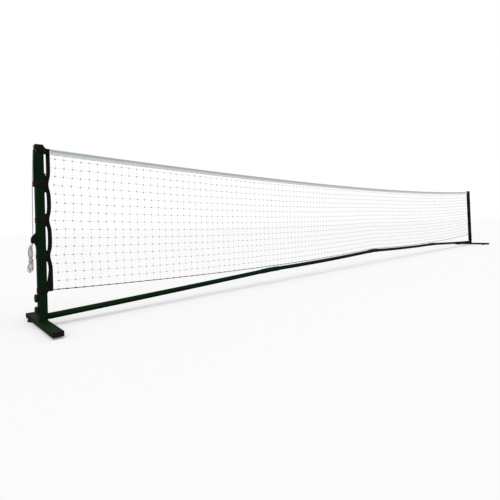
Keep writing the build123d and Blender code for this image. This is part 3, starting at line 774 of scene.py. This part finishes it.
def net_half(side):
    """One half of the net: twine from a grid's edges, and a knot at every crossing."""
    first, last = (0, MIDDLE_COLUMN) if side == "left" else (MIDDLE_COLUMN, LAST_COLUMN)
    wander = random.Random(11)
    places = {}
    for column in range(LAST_COLUMN + 1):
        for row in range(CELLS_HIGH + 1):
            places[column, row] = knot_place(column, row, wander)
    bm = bmesh.new()
    count = last - first
    bmesh.ops.create_grid(bm, x_segments=count, y_segments=CELLS_HIGH, size=0.5)
    for vertex in bm.verts:
        column = first + round((vertex.co.x + 0.5) * count)
        row = round((vertex.co.y + 0.5) * CELLS_HIGH)
        vertex.co = places[column, row]
    bmesh.ops.wireframe(bm, faces=bm.faces[:], thickness=TWINE, use_replace=True, use_boundary=True,
                        use_even_offset=False)
    for column in range(first + 1, last + (side == "left")):
        for row in range(1, CELLS_HIGH):
            lean = Matrix.Rotation(wander.uniform(0.3, 1.1), 4, "Y")
            shape = Matrix.Diagonal(KNOT_SHAPE)
            bmesh.ops.create_icosphere(bm, subdivisions=1, radius=KNOT_RADIUS,
                                       matrix=Matrix.Translation(places[column, row]) @ lean @ shape)
    return finish_piece(f"net_{side}", bm, FINISH["net_twine"])


for side in SIDES:
    net = net_half(side)
    print(net.name, "has", len(net.data.polygons), "faces")
    stretch_between(net)
    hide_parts("net_panel")

# %% [markdown]
# The bottom cord is laced to the lowest row of twine, and each lacing shows as a small
# bump. A bump is a short thick ring round the cord with very few faces, because there is
# one for every cell.

# %% Lacing on the bottom cord
LACING_LIFT = 0.0004


def lacing_half(side):
    sign = SIDES[side]
    wander = random.Random(5)
    bm = bmesh.new()
    for column in range(1, MIDDLE_COLUMN + (side == "left")):
        x = abs(column_at(column))
        tilt = Matrix.Rotation(math.pi / 2 + wander.uniform(-0.3, 0.3), 4, "Y")
        place = Matrix.Translation((sign * x, 0.0, bottom_edge(x) + LACING_LIFT))
        bmesh.ops.create_cone(bm, cap_ends=True, segments=8, radius1=0.0034, radius2=0.0030,
                              depth=wander.uniform(0.006, 0.012), matrix=place @ tilt)
    return finish_piece(f"lacing_{side}", bm, FINISH["net_twine"])


for side in SIDES:
    stretch_between(lacing_half(side))
print("lacing made")

# %% [markdown]
# ## Sheets with a UV map in metres
# Tape, bands and straps are all flat cloth bent to a shape. Each starts as a grid whose
# UV map is the flat cloth, and a function then says where each point of it goes. The
# Solidify modifier gives the cloth its thickness at the end.

# %% Cloth helper
def cloth(name, steps, size, place, material, thickness):
    """A grid of cloth: place(u, v) gives where the share (u, v) of the flat size lies."""
    bm = bmesh.new()
    flat = bm.loops.layers.uv.new("flat")
    bmesh.ops.create_grid(bm, x_segments=steps[0], y_segments=steps[1], size=0.5)
    shares = {v: (v.co.x + 0.5, v.co.y + 0.5) for v in bm.verts}
    for face in bm.faces:
        for loop in face.loops:
            u, v = shares[loop.vert]
            loop[flat].uv = (u * size[0], v * size[1])
    for vertex, (u, v) in shares.items():
        vertex.co = place(u, v)
    piece = finish_piece(name, bm, material)
    solid = piece.modifiers.new("thickness", "SOLIDIFY")
    solid.thickness = thickness
    solid.offset = 0.0
    return piece


print("cloth helper ready")

# %% [markdown]
# ## The top tape
# The tape is folded over the headline, so its section is a narrow upside-down U that is
# round at the top and pinched together where it is sewn. Its lower edge is scalloped
# very slightly, because every upright twine tugs at it.

# %% Tape
TAPE_CLOTH = 0.0008
TAPE_SECTION = [
    (-1.5, -29.6), (-1.6, -25.0), (-1.9, -17.0), (-2.6, -11.0), (-3.3, -7.0), (-3.5, -4.2), (-3.0, -2.0),
    (-1.7, -0.7), (0.0, -0.4), (1.7, -0.7), (3.0, -2.0), (3.5, -4.2), (3.3, -7.0), (2.6, -11.0),
    (1.9, -17.0), (1.6, -25.0), (1.5, -29.6),
]
SCALLOP = 0.0011
TAPE_RIPPLE = 0.0005


def tape_half(side):
    sign = SIDES[side]
    line = line_through([(0.0, y * MM, z * MM) for y, z in TAPE_SECTION], 4)

    def place(u, v):
        x = TAPE_END * u
        across = along_line(line, v)
        tug = SCALLOP * abs(2 * v - 1) ** 6 * math.cos(2 * math.pi * (TAPE_END - x) / CELL)
        ripple = TAPE_RIPPLE * math.sin(37 * x) * abs(2 * v - 1)
        return Vector((sign * x, across.y + ripple, tape_top(x) + across.z + tug))

    return cloth(f"top_tape_{side}", (420, 22), (TAPE_END, TAPE_WIDTH), place,
                 FINISH["white_tape"], TAPE_CLOTH)


for side in SIDES:
    tape = tape_half(side)
    stretch_between(tape)
    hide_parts("top_tape")
print("tape made in halves,", round(TAPE_END, 3), "m each")

# %% [markdown]
# ## The side bands
# A doubled band of webbing borders each end of the net. Between the straps it bows out
# towards the net, and at each strap it is drawn in almost to the post. It rides with the
# post that its straps go round.

# %% Bands
BAND_LOW, BAND_HIGH = 0.178, 0.902
BAND_HALF = 0.0098
BAND_CENTRE = 0.0425
BAND_CLOTH = 0.0026
BAND_BOW = 0.0006


def side_band(side):
    sign = SIDES[side]

    def place(u, v):
        z = BAND_LOW + (BAND_HIGH - BAND_LOW) * u
        x = BAND_CENTRE - strap_pull(z) + (2 * v - 1) * BAND_HALF
        bow = BAND_BOW * math.sin(z * 41.0) * (2 * v - 1)
        return Vector((sign * (HALF_SPAN - x), bow, z))

    flat = (BAND_HIGH - BAND_LOW, 2 * BAND_HALF)
    piece = cloth(f"side_band_{side}", (120, 6), flat, place,
                  FINISH["black_webbing"], BAND_CLOTH)
    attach(piece, f"{side}_post")
    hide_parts("side_bands")


for side in SIDES:
    side_band(side)
print("side bands made")

# %% [markdown]
# ## Straps
# Each strap goes once round the post and its two ends are sewn flat on the band. Its plan
# is a spline round the square post, in millimetres, from the band to the middle of the
# outer side. The uppermost one on the cord side also goes over the guide rail. A strap
# spreads up and down by its flare where it is sewn, and the lowest spreads far upwards.

# %% Side straps
STRAP_WIDTH = 0.025
STRAP_CLOTH = 0.0013
FRONT_PLAN = [
    (39.0, -2.3), (34.0, -2.3), (28.5, -2.6), (24.6, -6.0), (22.6, -16.0), (20.9, -21.0), (14.0, -21.0),
    (-12.0, -21.0), (-20.95, -21.0),
]
LOOP_PLAN = FRONT_PLAN + [(-20.95, -16.0), (-20.95, 0.0)]
RAIL_PLAN = FRONT_PLAN + [(-21.6, -15.0), (-27.6, -8.4), (-28.7, -6.6), (-28.75, 0.0)]
FLARE_FROM, FLARE_TO = 0.0195, 0.036
STRAP_FLARES = [(0.094, -0.006), (0.018, 0.016), (0.020, 0.021), (0.046, 0.028)]


def closed_plan(plan):
    """The plan's front half, and its mirror image for the back."""
    return plan + [(x, -y) for x, y in reversed(plan[:-1])]


def strap(name, side, height, plan, flare):
    """A strap round the post. It spreads where its ends are sewn over the band."""
    sign = SIDES[side]
    line = line_through([(x * MM, y * MM, 0.0) for x, y in closed_plan(plan)], 6)
    shift = strap_pull(height)
    up, down = flare

    def place(u, v):
        point = along_line(line, u)
        t = max(0.0, min(1.0, (point.x - FLARE_FROM) / (FLARE_TO - FLARE_FROM)))
        spread = t * t * (3 - 2 * t)
        low = height - STRAP_WIDTH / 2 - down * spread
        high = height + STRAP_WIDTH / 2 + up * spread
        return Vector((sign * (HALF_SPAN - point.x + shift * spread), point.y, low + (high - low) * v))

    piece = cloth(name, (110, 9), (line[1][-1], STRAP_WIDTH), place,
                  FINISH["black_webbing"], STRAP_CLOTH)
    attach(piece, f"{side}_post")
    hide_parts(f"{side}_side_straps")


for side in SIDES:
    for number, height in enumerate(STRAP_HEIGHTS):
        over_rail = side == "left" and number == 3
        strap(f"strap_{side}_{number + 1}", side, height, RAIL_PLAN if over_rail else LOOP_PLAN,
              STRAP_FLARES[number])
print("eight side straps made")

# %% [markdown]
# ## Top tabs
# The net's top corners are tied back by a wide tab each side of the head, screwed to it.
# A tab is deep on the post and narrows towards the tape, and its upper edge dips.

# %% Top tabs
TAB_PLAN = [
    (-14.0, 20.95), (-2.0, 20.95), (14.0, 20.95), (21.0, 20.6), (25.0, 14.5), (30.0, 5.6),
    (36.0, 4.1), (52.0, 4.1),
]
TAB_LOW, TAB_HIGH, TAB_TAPE = 0.8880, 0.9262, 0.9135
TAB_DROP = 0.004
TAB_WIDTH = 0.031
TAB_TURN_FROM, TAB_TURN = 0.016, 0.022


def top_tab(side, face):
    sign = SIDES[side]
    line = line_through([(x * MM, face * y * MM, 0.0) for x, y in TAB_PLAN], 6)

    def place(u, v):
        point = along_line(line, u)
        out = max(0.0, min(1.0, (point.x - TAB_TURN_FROM) / TAB_TURN))
        low = TAB_LOW - TAB_DROP * out
        high = TAB_HIGH - (TAB_HIGH - TAB_TAPE) * out**0.6
        return Vector((sign * (HALF_SPAN - point.x), point.y, low + (high - low) * v))

    name = f"top_tab_{side}_" + ("front" if face < 0 else "back")
    piece = cloth(name, (60, 6), (line[1][-1], TAB_WIDTH), place,
                  FINISH["black_webbing"], STRAP_CLOTH)
    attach(piece, f"{side}_post")
    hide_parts(f"{side}_top_straps")


for side in SIDES:
    for face in (-1, 1):
        top_tab(side, face)
print("top tabs made")

# %% [markdown]
# ## Floor and light
# A plain white floor and a soft white sky show the net the way a catalogue does. One very
# wide sun lights the whole long net evenly, from above and a little from the front. The
# floor is no brighter than white, because thin twine disappears in front of a glare. Light
# that bounces off it comes from a darker grey, so that the dark green keeps its depth
# underneath.

# %% Floor and sky
SKY_LIGHT, SKY_SEEN = 0.60, 1.0
FLOOR_SIZE, FLOOR_LEVEL = 60.0, -0.0008
FLOOR_PALE = (0.60, 0.60, 0.60, 1.0)
FLOOR_BOUNCE = (0.30, 0.30, 0.30, 1.0)
FLOOR_GLOW = 0.19
WHITE = (1.0, 1.0, 1.0, 1.0)


def pale_floor():
    bm = bmesh.new()
    bmesh.ops.create_grid(bm, x_segments=1, y_segments=1, size=FLOOR_SIZE)
    bmesh.ops.translate(bm, vec=(0, 0, FLOOR_LEVEL), verts=bm.verts)
    mesh = bpy.data.meshes.new("floor")
    bm.to_mesh(mesh)
    bm.free()
    floor = bpy.data.objects.new("floor", mesh)
    bpy.context.scene.collection.objects.link(floor)
    pale = Finish("pale_floor", 0.9, Specular_IOR_Level=0.0)
    pale.set("Base Color", FLOOR_PALE)
    pale.set("Emission Color", WHITE)
    pale.set("Emission Strength", FLOOR_GLOW)
    bounce = pale.node("ShaderNodeBsdfDiffuse", None, {"Color": FLOOR_BOUNCE})
    seen = pale.node("ShaderNodeLightPath")
    shaders = {0: seen, 1: bounce, 2: Val(pale, pale.shader.outputs[0])}
    both = pale.node("ShaderNodeMixShader", None, shaders)
    pale.put(pale.tree.nodes["Material Output"].inputs["Surface"], both)
    wear(floor, pale.material)


def soft_sky():
    """A white sky that lights the net less brightly than it looks."""
    world = bpy.data.worlds.new("studio")
    world.use_nodes = True
    sky = world.node_tree
    background = sky.nodes["Background"]
    background.inputs["Color"].default_value = WHITE
    rays = sky.nodes.new("ShaderNodeLightPath")
    strength = sky.nodes.new("ShaderNodeMapRange")
    strength.inputs["To Min"].default_value = SKY_LIGHT
    strength.inputs["To Max"].default_value = SKY_SEEN
    sky.links.new(rays.outputs["Is Camera Ray"], strength.inputs["Value"])
    sky.links.new(strength.outputs["Result"], background.inputs["Strength"])
    bpy.context.scene.world = world


pale_floor()
soft_sky()
print("floor and sky ready")

# %% Sun
SUN_FROM = Vector((-0.30, -0.42, 1.0))
SUN_STRENGTH = 2.45
SUN_WIDTH = 1.1


def soft_sun():
    """An even light from far away. Its wide disc gives soft shadows."""
    data = bpy.data.lights.new("overhead", "SUN")
    data.angle = SUN_WIDTH
    data.energy = SUN_STRENGTH
    lamp = bpy.data.objects.new("overhead", data)
    lamp.matrix_world = (-SUN_FROM).to_track_quat("-Z", "Y").to_matrix().to_4x4()
    bpy.context.scene.collection.objects.link(lamp)


soft_sun()
bpy.context.scene.view_settings.view_transform = "Standard"
print("sun ready")
